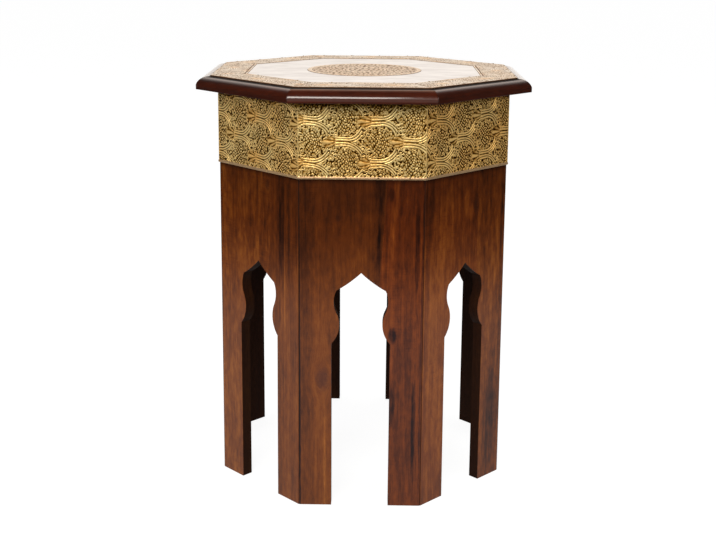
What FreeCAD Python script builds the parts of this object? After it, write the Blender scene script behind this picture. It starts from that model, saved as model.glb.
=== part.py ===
import FreeCAD, Part
import math
import os
import Sketcher

# An eight-sided stool of dark wood with a sheet-brass apron and top.
# Eight sides stand on the floor. Each is two boards glued edge to edge and mitred to its
# neighbours, with a cusped arch sawn out of it, so that a leg stands at each corner. The top
# board rests on the sides and is screwed to blocks in their corners. Mouldings frame the top
# board, and pinned brass sheets cover it and the upper part of the sides.
# Millimetres, Z up, the floor at Z = 0, the front side towards -Y.

SIDES = 8
SIDE_NAMES = ("front", "front_right", "right", "back_right", "back", "back_left", "left", "front_left")

# Places of the pins along a sheet, as shares of its length
APRON_PIN_SHARES = (-0.375, -0.125, 0.125, 0.375)
BORDER_OUTER_PIN_SHARES = (-0.39, -0.13, 0.13, 0.39)
BORDER_INNER_PIN_SHARES = (-0.3, 0.3)

SIZES = (
    ("BodyAcross", 316, "across the wooden sides, face to face"),
    ("BodyHeight", 444.5, "floor to the underside of the top"),
    ("BoardThick", 12.5, "side boards"),
    ("CornerEase", 1.2, "flat left on a sharp corner, along the face"),
    ("ArchWidth", 62, "between the legs"),
    ("LegHeight", 186.5, "floor to where the legs' straight edges end"),
    ("BumpProud", 8.3, "bumps, in from the legs' edges"),
    ("JointInset", 3.7, "glue joint of a side's two boards, in from the bump on its right"),
    ("BumpRise", 20.9, "bumps' middles, up from the ends of those edges"),
    ("WaistBack", 3.3, "waist between a bump and its lobe, back from the bump"),
    ("WaistRise", 13.6, "waist, up from the bump's middle"),
    ("LobeBack", 2.6, "lobes, back from the waist"),
    ("LobeRise", 12.5, "lobes' middles, up from the waist"),
    ("ShoulderIn", 2.9, "shoulders under the point, in from the lobes"),
    ("ShoulderRise", 11.3, "shoulders, up from the lobes' middles"),
    ("PointRise", 19.2, "point of the arch, up from the shoulders"),
    ("OgeeSag", 1.3, "how far the edges below the point hang in"),
    ("TopAcross", 328, "across the top board, face to face"),
    ("TopThick", 11.5, "top board"),
    ("MouldWidth", 15, "moulding, out from the top board"),
    ("MouldHeight", 11, "moulding"),
    ("MouldStep", 2.2, "flat at the moulding's inner edge"),
    ("MouldLand", 1, "upright edge under the moulding's round"),
    ("BorderWidth", 38, "brass border strips"),
    ("BorderThick", 1.2, "brass border strips over their embossing"),
    ("CentreThick", 0.6, "white-metal sheet"),
    ("MedallionAcross", 128, "round medallion"),
    ("MedallionThick", 0.6, "medallion over its embossing"),
    ("ApronHeight", 82, "brass apron"),
    ("ApronThick", 1, "brass apron over its embossing"),
    ("HemHeight", 3, "turned lower edge of the apron"),
    ("HemProud", 0.6, "how far that edge stands out"),
    ("BlockHeight", 30, "corner blocks"),
    ("BlockLeg", 20, "glued faces of a corner block"),
    ("BlockDepth", 24, "corner block, from the corner inwards"),
    ("ScrewPlace", 14, "screw, from the inner corner inwards"),
    ("ScrewLength", 38, "wood screws"),
    ("ScrewAcross", 3.8, "screw shank"),
    ("ScrewHeadAcross", 7.6, "screw head"),
    ("ScrewHeadDeep", 2.6, "countersunk part of the screw"),
    ("ScrewPlay", 0.2, "clearance around a screw in its block"),
    ("PinHeadAcross", 1.8, "brass pins"),
    ("PinHeadHigh", 0.4, "brass pins"),
    ("PinAcross", 1, "shank of a pin"),
    ("PinDepth", 6.5, "pin's reach into the wood"),
    ("PinInset", 1.6, "pins from the edge of a border strip"),
    ("Overrun", 2, "how far a cutting shape runs past the piece"),
)

# What several pieces are worked out from
HALF_TURN = f"180 deg / {SIDES}"
TAN = f"tan({HALF_TURN})"
SIN = f"sin({HALF_TURN})"
COS = f"cos({HALF_TURN})"
SIDE_OUT = "Sizes.BodyAcross / 2"
SIDE_IN = "(Sizes.BodyAcross / 2 - Sizes.BoardThick)"
BUMP = "(Sizes.ArchWidth / 2 - Sizes.BumpProud)"
JOINT = f"({BUMP} - Sizes.JointInset)"
TOP_OUT = "Sizes.TopAcross / 2"
TOP_IN = "(Sizes.TopAcross / 2 - Sizes.BorderWidth)"
APRON_OUT = "(Sizes.BodyAcross / 2 + Sizes.ApronThick)"
HEM_OUT = "(Sizes.BodyAcross / 2 + Sizes.ApronThick + Sizes.HemProud)"
APRON_LOW = "(Sizes.BodyHeight - Sizes.ApronHeight)"
TOP_FACE = "(Sizes.BodyHeight + Sizes.TopThick)"
SCREW_OUT = f"({SIDE_IN} / {COS} - Sizes.ScrewPlace)"
SCREW_LOW = "(Sizes.BodyHeight - Sizes.BlockHeight)"

doc = FreeCAD.newDocument("Stool")
sheet = doc.addObject("Spreadsheet::Sheet", "Sizes")
for row, (alias, number, note) in enumerate(SIZES, start=1):
    sheet.set(f"A{row}", alias)
    sheet.set(f"B{row}", str(number))
    sheet.setAlias(f"B{row}", alias)
    sheet.set(f"C{row}", note)
doc.recompute()


# Helpers for sketches

def value(expression):
    """The number that an expression in the sheet's sizes stands for."""
    found = sheet.evalExpression(expression)
    return float(getattr(found, "Value", found))


def sketch_on(body, role, name, lift=None):
    """A new sketch on one of the body's own origin planes, moved out along its normal by lift."""
    sketch = body.newObject("Sketcher::SketchObject", name)
    plane = next(item for item in body.Origin.OriginFeatures if item.Role == role)
    sketch.AttachmentSupport = [(plane, "")]
    sketch.MapMode = "FlatFace"
    if lift:
        sketch.setExpression("AttachmentOffset.Base.z", lift)
    return sketch


def bind(sketch, kind, before, after, expression):
    """One named distance between two places of a sketch, kept equal to an expression."""
    number = value(expression)
    if number < 0:
        before, after, expression, number = after, before, f"-({expression})", -number
    index = sketch.addConstraint(Sketcher.Constraint(kind, *before, *after, number))
    sketch.setExpression(f"Constraints[{index}]", expression)


def fix_place(sketch, place, x, y):
    """Ties a place of a sketch to its X and Y, given as expressions."""
    origin, x_axis, y_axis = (-1, 1), -1, -2
    for kind, axis, expression in (("DistanceX", y_axis, x), ("DistanceY", x_axis, y)):
        if expression == "0":
            sketch.addConstraint(Sketcher.Constraint("PointOnObject", *place, axis))
        else:
            bind(sketch, kind, origin, place, expression)


def arc_by_way_of(first, way, last):
    """The arc through three points, and which of its ends lies at the first point."""
    centre = Part.Arc(first, way, last).toShape().Curve.Center
    radius = (first - centre).Length
    turns_left = (way - first).cross(last - way).z > 0
    start, end = (first, last) if turns_left else (last, first)
    angles = [math.atan2(point.y - centre.y, point.x - centre.x) for point in (start, end)]
    if angles[1] < angles[0]:
        angles[1] += 2 * math.pi
    circle = Part.Circle(centre, FreeCAD.Vector(0, 0, 1), radius)
    return Part.ArcOfCircle(circle, *angles), (1, 2) if turns_left else (2, 1)


def outline(sketch, *corners):
    """Draws a closed outline from the corners' (x, y) expressions. A corner given as
    (way x, way y, x, y) is reached by an arc by way of the first pair."""
    points = [FreeCAD.Vector(value(c[-2]), value(c[-1]), 0) for c in corners]
    ends = []
    for index, corner in enumerate(corners):
        first, last = points[index - 1], points[index]
        if len(corner) == 4:
            way = FreeCAD.Vector(value(corner[0]), value(corner[1]), 0)
            arc, (at_first, at_last) = arc_by_way_of(first, way, last)
            edge = sketch.addGeometry(arc, False)
            mark = sketch.addGeometry(Part.Point(way), True)
            fix_place(sketch, (mark, 1), corner[0], corner[1])
            sketch.addConstraint(Sketcher.Constraint("PointOnObject", mark, 1, edge))
        else:
            edge = sketch.addGeometry(Part.LineSegment(first, last), False)
            at_first, at_last = 1, 2
        ends.append(((edge, at_first), (edge, at_last)))
    for index, corner in enumerate(corners):
        start_of_next = ends[(index + 1) % len(ends)][0]
        sketch.addConstraint(Sketcher.Constraint("Coincident", *ends[index][1], *start_of_next))
        fix_place(sketch, ends[index][1], corner[-2], corner[-1])


def circles(sketch, centres, across):
    """Draws a circle of the given diameter at each centre."""
    for x, y in centres:
        centre = FreeCAD.Vector(value(x), value(y), 0)
        circle = Part.Circle(centre, FreeCAD.Vector(0, 0, 1), value(across) / 2)
        edge = sketch.addGeometry(circle, False)
        fix_place(sketch, (edge, 3), x, y)
        index = sketch.addConstraint(Sketcher.Constraint("Diameter", edge, value(across)))
        sketch.setExpression(f"Constraints[{index}]", across)


def octagon(sketch, half_across):
    """Draws a regular octagon from half its width across the flats."""
    corners = []
    for index in range(SIDES):
        angle = f"({index} + 0.5) * 360 deg / {SIDES}"
        corners.append((f"{half_across} / {COS} * sin({angle})", f"-{half_across} / {COS} * cos({angle})"))
    outline(sketch, *corners)


# Helpers for solids

# Every feature that takes material away, so that all can be checked once the model is worked out
cuts = []


def new_body(label, eighth_turns=0.0):
    """An empty body, turned about Z by so many eighths of a circle."""
    body = doc.addObject("PartDesign::Body", label)
    body.Label = label
    body.Placement.Rotation = FreeCAD.Rotation(FreeCAD.Vector(0, 0, 1), eighth_turns * 360 / SIDES)
    return body


def pad(body, sketch, length, symmetric=False):
    """Raises a sketch into a solid."""
    feature = body.newObject("PartDesign::Pad", "Pad")
    feature.Profile = sketch
    feature.setExpression("Length", length)
    if symmetric:
        feature.SideType = "Symmetric"


def cut(body, sketch, along_normal, length=None):
    """Cuts a sketch out of the body, right through or to a length."""
    feature = body.newObject("PartDesign::Pocket", "Pocket")
    feature.Profile = sketch
    feature.Reversed = along_normal
    if length:
        feature.setExpression("Length", length)
    else:
        feature.Type = "ThroughAll"
    cuts.append(feature)
    return feature


def mitre(body, inner, outer):
    """Cuts both ends of a strip of the front side so that it meets its neighbours."""
    sketch = sketch_on(body, "XY_Plane", "Mitre")
    for sign in ("", "-"):
        reach = f"{sign}({outer} + Sizes.Overrun) * {TAN}"
        outline(
            sketch,
            (f"{sign}({inner} - Sizes.Overrun) * {TAN}", f"-({inner} - Sizes.Overrun)"),
            (reach, f"-({outer} + Sizes.Overrun)"),
            (reach, f"-({inner} - Sizes.Overrun)"),
        )
    cut(body, sketch, True)


def strip(label, turns, inner, outer, *profile):
    """A mitred strip of one side: its section, in Y and Z, run along the side."""
    body = new_body(label, turns)
    section = sketch_on(body, "YZ_Plane", "Section")
    outline(section, *profile)
    pad(body, section, f"2 * {outer} * {TAN}", symmetric=True)
    mitre(body, inner, outer)
    return body


def plain_section(inner, outer, low, high):
    """A rectangle in Y and Z for a strip."""
    return (f"-{inner}", low), (f"-{inner}", high), (f"-{outer}", high), (f"-{outer}", low)


# Side boards

def arch_outline(sketch):
    """The whole arch: straight legs, a bump, a lobe and a slightly hanging run to the point."""
    leg_x, leg_z = "Sizes.ArchWidth / 2", "Sizes.LegHeight"
    bump_x, bump_z = BUMP, f"({leg_z} + Sizes.BumpRise)"
    waist_x, waist_z = f"({bump_x} + Sizes.WaistBack)", f"({bump_z} + Sizes.WaistRise)"
    lobe_x, lobe_z = f"({waist_x} + Sizes.LobeBack)", f"({waist_z} + Sizes.LobeRise)"
    shoulder_x, shoulder_z = f"({lobe_x} - Sizes.ShoulderIn)", f"({lobe_z} + Sizes.ShoulderRise)"
    point_z = f"({shoulder_z} + Sizes.PointRise)"
    sag_x, sag_z = f"{shoulder_x} / 2", f"(({shoulder_z} + {point_z}) / 2 - Sizes.OgeeSag)"
    outline(
        sketch,
        (leg_x, "-Sizes.Overrun"),
        (leg_x, leg_z),
        (bump_x, bump_z, waist_x, waist_z),
        (lobe_x, lobe_z, shoulder_x, shoulder_z),
        (sag_x, sag_z, "0", point_z),
        (f"-{sag_x}", sag_z, f"-{shoulder_x}", shoulder_z),
        (f"-{lobe_x}", lobe_z, f"-{waist_x}", waist_z),
        (f"-{bump_x}", bump_z, f"-{leg_x}", leg_z),
        (f"-{leg_x}", "-Sizes.Overrun"),
    )


def apron_pin_places():
    """X and Z of the pins of one apron sheet, as expressions."""
    length = f"2 * {SIDE_OUT} * {TAN}"
    low = f"{APRON_LOW} + Sizes.HemHeight / 2"
    high = "Sizes.BodyHeight - Sizes.HemHeight / 2"
    return [(f"{share} * {length}", z) for z in (low, high) for share in APRON_PIN_SHARES]


def side_board(label, turns, corner_sign):
    """One board of a side, from its mitred corner to the glue joint. corner_sign is "-" for the
    wide board on the left and "" for the narrow board on the right."""
    body = new_body(label, turns)
    plan = sketch_on(body, "XY_Plane", "Plan")
    outline(
        plan,
        (JOINT, f"-{SIDE_OUT}"),
        (f"{corner_sign}({SIDE_OUT} * {TAN} - Sizes.CornerEase)", f"-{SIDE_OUT}"),
        (
            f"{corner_sign}({SIDE_OUT} * {TAN} - Sizes.CornerEase * {SIN} ^ 2)",
            f"-({SIDE_OUT} - Sizes.CornerEase * {SIN} * {COS})",
        ),
        (f"{corner_sign}{SIDE_IN} * {TAN}", f"-{SIDE_IN}"),
        (JOINT, f"-{SIDE_IN}"),
    )
    pad(body, plan, "Sizes.BodyHeight")
    arch = sketch_on(body, "XZ_Plane", "Arch")
    arch_outline(arch)
    cut(body, arch, True)
    holes = sketch_on(body, "XZ_Plane", "PinHoles", SIDE_OUT)
    circles(holes, apron_pin_places(), "Sizes.PinAcross")
    cut(body, holes, False, "Sizes.PinDepth")
    return body


# Top

def border_pin_places():
    """X and Y of the pins of one border strip, as expressions."""
    outer = f"({TOP_OUT} - Sizes.PinInset)"
    inner = f"({TOP_IN} + Sizes.PinInset)"
    rows = ((outer, BORDER_OUTER_PIN_SHARES), (inner, BORDER_INNER_PIN_SHARES))
    return [(f"{share} * 2 * {y} * {TAN}", f"-{y}") for y, shares in rows for share in shares]


def repeat_around(body, feature):
    """Repeats a feature eight times about the stool's own axis."""
    pattern = body.newObject("PartDesign::PolarPattern", "Around")
    pattern.Originals = [feature]
    axis = next(item for item in body.Origin.OriginFeatures if item.Role == "Z_Axis")
    pattern.Axis = (axis, [""])
    pattern.Angle = 360
    pattern.Occurrences = SIDES
    body.Tip = pattern


def top_board():
    body = new_body("top_board")
    plan = sketch_on(body, "XY_Plane", "Plan", "Sizes.BodyHeight")
    octagon(plan, f"{TOP_OUT}")
    pad(body, plan, "Sizes.TopThick")
    screws = sketch_on(body, "XY_Plane", "ScrewHole", "Sizes.BodyHeight")
    circles(screws, [(f"{SCREW_OUT} * {SIN}", f"-{SCREW_OUT} * {COS}")], "Sizes.ScrewAcross")
    repeat_around(body, cut(body, screws, True, "Sizes.ScrewLength - Sizes.BlockHeight"))
    pins = sketch_on(body, "XY_Plane", "PinHoles", TOP_FACE)
    circles(pins, border_pin_places(), "Sizes.PinAcross")
    repeat_around(body, cut(body, pins, False, "Sizes.PinDepth"))
    return body


def edge_moulding(name, turns):
    """A rounded strip glued to one edge of the top board. Its round leaves the flat level and
    comes down to the upright land."""
    low = "Sizes.BodyHeight"
    high = f"({low} + Sizes.MouldHeight)"
    outer = f"({TOP_OUT} + Sizes.MouldWidth)"
    round_wide = "(Sizes.MouldWidth - Sizes.MouldStep)"
    round_high = "(Sizes.MouldHeight - Sizes.MouldLand)"
    radius = f"(({round_wide} ^ 2 + {round_high} ^ 2) / (2 * {round_high}))"
    half_bend = f"atan({round_high} / {round_wide})"
    return strip(
        f"edge_moulding_{name}", turns, TOP_OUT, outer,
        (f"-{TOP_OUT}", low),
        (f"-{TOP_OUT}", high),
        (f"-({TOP_OUT} + Sizes.MouldStep)", high),
        (
            f"-({TOP_OUT} + Sizes.MouldStep + {radius} * sin({half_bend}))",
            f"{high} - {radius} * (1 - cos({half_bend}))",
            f"-{outer}", f"{low} + Sizes.MouldLand",
        ),
        (f"-{outer}", low),
    )


def brass_border(name, turns):
    """An embossed strip along one edge of the top, with its pin holes."""
    section = plain_section(TOP_IN, TOP_OUT, TOP_FACE, f"{TOP_FACE} + Sizes.BorderThick")
    body = strip(f"brass_border_{name}", turns, TOP_IN, TOP_OUT, *section)
    holes = sketch_on(body, "XY_Plane", "PinHoles")
    circles(holes, border_pin_places(), "Sizes.PinAcross")
    cut(body, holes, True)
    return body


def centre_sheet():
    body = new_body("centre_sheet")
    plan = sketch_on(body, "XY_Plane", "Plan", TOP_FACE)
    octagon(plan, TOP_IN)
    pad(body, plan, "Sizes.CentreThick")
    return body


def medallion():
    body = new_body("medallion")
    plan = sketch_on(body, "XY_Plane", "Plan", f"{TOP_FACE} + Sizes.CentreThick")
    circles(plan, [("0", "0")], "Sizes.MedallionAcross")
    pad(body, plan, "Sizes.MedallionThick")
    return body


# Apron

def brass_apron(name, turns):
    """An embossed sheet over the upper part of one side, turned out along its lower edge."""
    body = strip(
        f"brass_apron_{name}", turns, SIDE_OUT, HEM_OUT,
        (f"-{SIDE_OUT}", APRON_LOW),
        (f"-{SIDE_OUT}", "Sizes.BodyHeight"),
        (f"-{APRON_OUT}", "Sizes.BodyHeight"),
        (f"-{APRON_OUT}", f"{APRON_LOW} + Sizes.HemHeight"),
        (f"-{HEM_OUT}", f"{APRON_LOW} + Sizes.HemHeight"),
        (f"-{HEM_OUT}", APRON_LOW),
    )
    holes = sketch_on(body, "XZ_Plane", "PinHoles")
    circles(holes, apron_pin_places(), "Sizes.PinAcross")
    cut(body, holes, True)
    return body


# Corner blocks and screws, drawn with their corner towards -Y

def screw_section(sketch, play, high):
    """Half of a countersunk screw or of its hole, in Y and Z, and its axis."""
    shank = f"(Sizes.ScrewAcross / 2 + {play})"
    head = f"(Sizes.ScrewHeadAcross / 2 + {play})"
    outline(
        sketch,
        (f"-{SCREW_OUT}", SCREW_LOW),
        (f"-{SCREW_OUT} + {head}", SCREW_LOW),
        (f"-{SCREW_OUT} + {shank}", f"{SCREW_LOW} + Sizes.ScrewHeadDeep"),
        (f"-{SCREW_OUT} + {shank}", high),
        (f"-{SCREW_OUT}", high),
    )
    ends = [FreeCAD.Vector(-value(SCREW_OUT), value(z), 0) for z in (SCREW_LOW, high)]
    axis = sketch.addGeometry(Part.LineSegment(*ends), True)
    for place, z in ((1, SCREW_LOW), (2, high)):
        fix_place(sketch, (axis, place), f"-{SCREW_OUT}", z)


def corner_block(number):
    """A block glued into an inner corner under the top, with the hole for its screw."""
    body = new_body(f"corner_block_{number}", number - 0.5)
    plan = sketch_on(body, "XY_Plane", "Plan", SCREW_LOW)
    corner = f"{SIDE_IN} / {COS}"
    outline(
        plan,
        ("0", f"-{corner}"),
        (f"Sizes.BlockLeg * {COS}", f"-{corner} + Sizes.BlockLeg * {SIN}"),
        (f"Sizes.BlockLeg * {COS}", f"-{corner} + Sizes.BlockDepth"),
        (f"-Sizes.BlockLeg * {COS}", f"-{corner} + Sizes.BlockDepth"),
        (f"-Sizes.BlockLeg * {COS}", f"-{corner} + Sizes.BlockLeg * {SIN}"),
    )
    pad(body, plan, "Sizes.BlockHeight")
    section = sketch_on(body, "YZ_Plane", "HoleSection")
    screw_section(section, "Sizes.ScrewPlay", "Sizes.BodyHeight")
    hole = body.newObject("PartDesign::Groove", "Hole")
    hole.Profile = section
    hole.ReferenceAxis = (section, ["Axis0"])
    hole.Angle = 360
    cuts.append(hole)
    return body


def top_screws():
    """All the screws, one up through each corner block into the top board."""
    body = new_body("top_screws", 0.5)
    body.AllowCompound = True
    section = sketch_on(body, "YZ_Plane", "Section")
    screw_section(section, "0", f"{SCREW_LOW} + Sizes.ScrewLength")
    turned = body.newObject("PartDesign::Revolution", "Screw")
    turned.Profile = section
    turned.ReferenceAxis = (section, ["Axis0"])
    turned.Angle = 360
    repeat_around(body, turned)
    return body


# Pins: plain turned solids, too many and too small to be worth a sketch each

def pin(seat, outward, depth):
    """A pin whose low head sits on seat, with its shank driven against outward."""
    head_radius = value("Sizes.PinHeadAcross / 2")
    shank_radius = value("Sizes.PinAcross / 2")
    head = Part.makeCone(head_radius, shank_radius, value("Sizes.PinHeadHigh"), seat, outward)
    shank = Part.makeCylinder(shank_radius, depth, seat, outward * -1)
    return head.fuse(shank)


def around(shapes):
    """The shapes, repeated on every side of the stool."""
    copies = []
    for index in range(SIDES):
        for shape in shapes:
            copy = shape.copy()
            copy.rotate(FreeCAD.Vector(0, 0, 0), FreeCAD.Vector(0, 0, 1), index * 360 / SIDES)
            copies.append(copy)
    return Part.makeCompound(copies)


def pin_group(label, shapes):
    feature = doc.addObject("Part::Feature", label)
    feature.Label = label
    feature.Shape = around(shapes)
    feature.Placement = FreeCAD.Placement()
    return feature


def apron_pins():
    outward = FreeCAD.Vector(0, -1, 0)
    places = apron_pin_places()
    low_row = len(APRON_PIN_SHARES)
    shapes = []
    for index, (x, z) in enumerate(places):
        seat_y = HEM_OUT if index < low_row else APRON_OUT
        seat = FreeCAD.Vector(value(x), -value(seat_y), value(z))
        depth = value(f"{seat_y} - {SIDE_OUT} + Sizes.PinDepth")
        shapes.append(pin(seat, outward, depth))
    return pin_group("apron_pins", shapes)


def border_pins():
    outward = FreeCAD.Vector(0, 0, 1)
    seat_z = value(f"{TOP_FACE} + Sizes.BorderThick")
    depth = value("Sizes.BorderThick + Sizes.PinDepth")
    shapes = [pin(FreeCAD.Vector(value(x), value(y), seat_z), outward, depth) for x, y in border_pin_places()]
    return pin_group("border_pins", shapes)


# The stool

pieces = [top_board(), centre_sheet(), medallion(), top_screws(), apron_pins(), border_pins()]
for turns, name in enumerate(SIDE_NAMES):
    pieces.append(side_board(f"side_board_wide_{name}", turns, "-"))
    pieces.append(side_board(f"side_board_narrow_{name}", turns, ""))
    pieces.append(edge_moulding(name, turns))
    pieces.append(brass_border(name, turns))
    pieces.append(brass_apron(name, turns))
    pieces.append(corner_block(turns + 1))

doc.recompute()
for item in doc.Objects:
    assert not {"Invalid", "Error"} & set(item.State), (item.Label, item.State)
for feature in cuts:
    assert feature.Shape.Volume < feature.BaseFeature.Shape.Volume, feature.Label
for piece in pieces:
    assert not piece.Shape.isNull() and piece.Shape.isValid(), piece.Label

os.makedirs("parts", exist_ok=True)
for piece in pieces:
    piece.Shape.exportStep(f"parts/{piece.Label}.step")
    box = piece.Shape.BoundBox
    print(piece.Label, len(piece.Shape.Solids), "solids", round(piece.Shape.Volume), "mm3",
          "z", round(box.ZMin, 2), round(box.ZMax, 2))
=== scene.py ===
# %% [markdown]
# # An octagonal stool in dark wood and embossed brass
#
# The stool is eight boarded sides of glossy dark hardwood, each with a cusped arch sawn out of
# it, under a framed octagonal top. Thin brass, embossed from behind with straps and leaves,
# covers the upper part of the sides and the border of the top.
#
# The construction is loaded first, as a frame that stays where it is. Then each visible piece
# gets its surface: the boards and mouldings are softened copies of the frame's own pieces,
# and the brass sheets are modelled again with their embossing as real relief.

# %% Load the construction
import math

import bpy
import numpy as np
from mathutils import Matrix, Vector


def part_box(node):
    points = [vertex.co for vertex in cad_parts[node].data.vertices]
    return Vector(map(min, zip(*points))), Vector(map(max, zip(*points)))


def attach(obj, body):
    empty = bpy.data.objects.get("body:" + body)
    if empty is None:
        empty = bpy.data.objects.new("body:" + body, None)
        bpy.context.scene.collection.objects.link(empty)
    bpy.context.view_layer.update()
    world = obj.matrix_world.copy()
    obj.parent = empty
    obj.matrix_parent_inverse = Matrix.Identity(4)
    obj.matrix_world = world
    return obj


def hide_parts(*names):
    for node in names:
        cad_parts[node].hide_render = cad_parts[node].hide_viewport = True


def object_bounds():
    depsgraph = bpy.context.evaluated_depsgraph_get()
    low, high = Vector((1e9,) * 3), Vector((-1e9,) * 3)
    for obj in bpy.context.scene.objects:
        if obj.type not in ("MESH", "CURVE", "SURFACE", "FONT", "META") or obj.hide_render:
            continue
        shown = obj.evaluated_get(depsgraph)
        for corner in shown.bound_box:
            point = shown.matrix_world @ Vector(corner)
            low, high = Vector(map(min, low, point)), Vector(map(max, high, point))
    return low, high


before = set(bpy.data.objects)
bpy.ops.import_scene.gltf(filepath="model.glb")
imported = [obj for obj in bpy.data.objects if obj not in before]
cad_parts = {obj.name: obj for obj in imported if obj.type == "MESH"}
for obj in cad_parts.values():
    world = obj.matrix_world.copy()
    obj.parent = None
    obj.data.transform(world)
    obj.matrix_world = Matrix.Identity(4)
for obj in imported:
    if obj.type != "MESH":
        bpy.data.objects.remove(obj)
cad_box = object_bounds()
cad_size = [round(x, 4) for x in cad_box[1] - cad_box[0]]
print("pieces in the frame:", len(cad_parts), "size:", cad_size)

# %% [markdown]
# ## Sizes
#
# Every place below is worked out from the boxes of the frame's pieces, so the looks follow the
# construction. The front side faces -Y. The other seven sides are turned from it, so one side
# is thought through in its own directions: along the side, out from the middle, and up.

# %% Read the sizes off the frame
MM = 0.001
SIDES = 8
SIDE_NAMES = ("front", "front_right", "right", "back_right", "back", "back_left", "left", "front_left")
HALF_TAN = math.tan(math.pi / SIDES)

board_low, board_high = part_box("side_board_wide_front")
apron_low, apron_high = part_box("brass_apron_front")
border_low, border_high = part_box("brass_border_front")
moulding_low, moulding_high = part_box("edge_moulding_front")
medallion_low, medallion_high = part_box("medallion")

side_out = -board_low.y
joint_u = board_high.x
hem_out = -apron_low.y
top_out, top_in = -border_low.y, -border_high.y
print("sides stand out", round(side_out, 4), "and the top's brass", round(top_out, 4))


def side_turn(index):
    """The turn about Z that takes the front side to side number index."""
    return Matrix.Rotation(index * math.tau / SIDES, 4, "Z")


# %% [markdown]
# ## Camera
#
# The photograph looks a little down on the stool from straight ahead, from a good metre away.
# The camera's place, tilt and focal length were solved from the corners of the feet, the brass
# and the top, so a point of the model falls on its place in the photograph. It is made first,
# because every later choice is judged through it.

# %% Stand the camera where the photographer stood
PHOTO_WIDTH = 716
FOCAL_PIXELS = 1160.6
SENSOR = 36.0
CAMERA_PLACE = Vector((0.0123, -1.3156, 0.5956))
CAMERA_YAW, CAMERA_PITCH, CAMERA_ROLL = -0.0135, 0.2761, 0.0074

camera_data = bpy.data.cameras.new("camera")
camera_data.sensor_width = SENSOR
camera_data.lens = FOCAL_PIXELS / PHOTO_WIDTH * SENSOR
camera = bpy.data.objects.new("camera", camera_data)
turned = Matrix.Rotation(-CAMERA_YAW, 4, "Z") @ Matrix.Rotation(math.pi / 2 - CAMERA_PITCH, 4, "X")
camera.matrix_world = Matrix.Translation(CAMERA_PLACE) @ turned @ Matrix.Rotation(CAMERA_ROLL, 4, "Z")
bpy.context.scene.collection.objects.link(camera)
bpy.context.scene.camera = camera
bpy.context.scene.view_settings.view_transform = "Standard"
print("focal length", round(camera_data.lens, 2), "mm")

# %% [markdown]
# ## Splay
#
# The frame's sides stand upright. On the real stool they lean in a little as they rise, as
# hand-made sides do: the feet stand wider than the shoulders. That is too little for the
# construction, but the eye sees it in the outline. So every visible side board and brass sheet
# is leaned by one rule: how far a place moves out depends only on its height. The mitred
# corners go along, and the arches keep their width.

# %% One rule for the lean of the sides
SPLAY_FOOT, SPLAY_TOP = 2.0 * MM, -2.4 * MM
LEG_STARTS = 31 * MM
under_top = board_high.z


def splay(up):
    """How far out a side leans at a height."""
    return SPLAY_FOOT + (SPLAY_TOP - SPLAY_FOOT) * up / under_top


def lean(u, out, up):
    """The leaning place of a place on an upright side."""
    share = np.clip((np.abs(u) - LEG_STARTS) / (side_out * HALF_TAN - LEG_STARTS), 0, None)
    return u + np.sign(u) * share * splay(up) * HALF_TAN, out + splay(up)


print("a side leans by", round(math.degrees((SPLAY_FOOT - SPLAY_TOP) / under_top), 2), "degrees")

# %% [markdown]
# ## Building materials from nodes
#
# A material is a small graph. It could be wired by hand, node by node, but sums over many
# inputs are easier to read as lines of text. So each helper below adds one kind of node with
# its settings and inputs, and hands back its result for the next one.

# %% Helpers for node graphs


def fill(tree, socket, value):
    """Gives an input a plain value, or links another node's output to it."""
    if isinstance(value, bpy.types.NodeSocket):
        tree.links.new(value, socket)
    else:
        socket.default_value = value


def add_node(tree, kind, inputs=None, **settings):
    """Adds a node with these settings. Its inputs are named or numbered, and hold values or links."""
    made = tree.nodes.new(kind)
    for name, setting in settings.items():
        setattr(made, name, setting)
    for socket, value in (inputs or {}).items():
        fill(tree, made.inputs[socket], value)
    return made


def calc(tree, operation, *values, clamp=False):
    """The result of one arithmetic node."""
    made = add_node(tree, "ShaderNodeMath", operation=operation, use_clamp=clamp)
    for index, value in enumerate(values):
        fill(tree, made.inputs[index], value)
    return made.outputs[0]


def times(tree, first, second):
    """One value times another."""
    return calc(tree, "MULTIPLY", first, second)


def scaled(tree, value, factor, plus, clamp=False):
    """A value times a factor, plus another value."""
    return calc(tree, "MULTIPLY_ADD", value, factor, plus, clamp=clamp)


def rest_of(tree, value):
    """1 less a value."""
    return calc(tree, "SUBTRACT", 1.0, value)


def vector_calc(tree, operation, first, second):
    """The result of one node that does a sum with two vectors."""
    return add_node(tree, "ShaderNodeVectorMath", {0: first, 1: second}, operation=operation).outputs[0]


def length_of(tree, vector):
    """The length of a vector."""
    return add_node(tree, "ShaderNodeVectorMath", {0: vector}, operation="LENGTH").outputs["Value"]


def numbers_of(tree, vector):
    """The three numbers of a vector."""
    return add_node(tree, "ShaderNodeSeparateXYZ", {"Vector": vector}).outputs


def noise(tree, vector, scale, detail=2.0, roughness=0.5):
    """A noise value about a half, over a vector."""
    inputs = {"Vector": vector, "Scale": scale, "Detail": detail, "Roughness": roughness}
    return add_node(tree, "ShaderNodeTexNoise", inputs).outputs["Fac"]


def stretch(tree, vector, amounts, shift=(0, 0, 0)):
    """The vector times an amount along each axis, then moved."""
    inputs = {"Vector": vector, "Scale": amounts, "Location": shift}
    return add_node(tree, "ShaderNodeMapping", inputs).outputs["Vector"]


def stretched_noise(tree, vector, amounts, detail=2.0, roughness=0.5, shift=(0, 0, 0)):
    """Noise that is finer along one axis than along another."""
    return noise(tree, stretch(tree, vector, amounts, shift), 1.0, detail, roughness)


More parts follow.
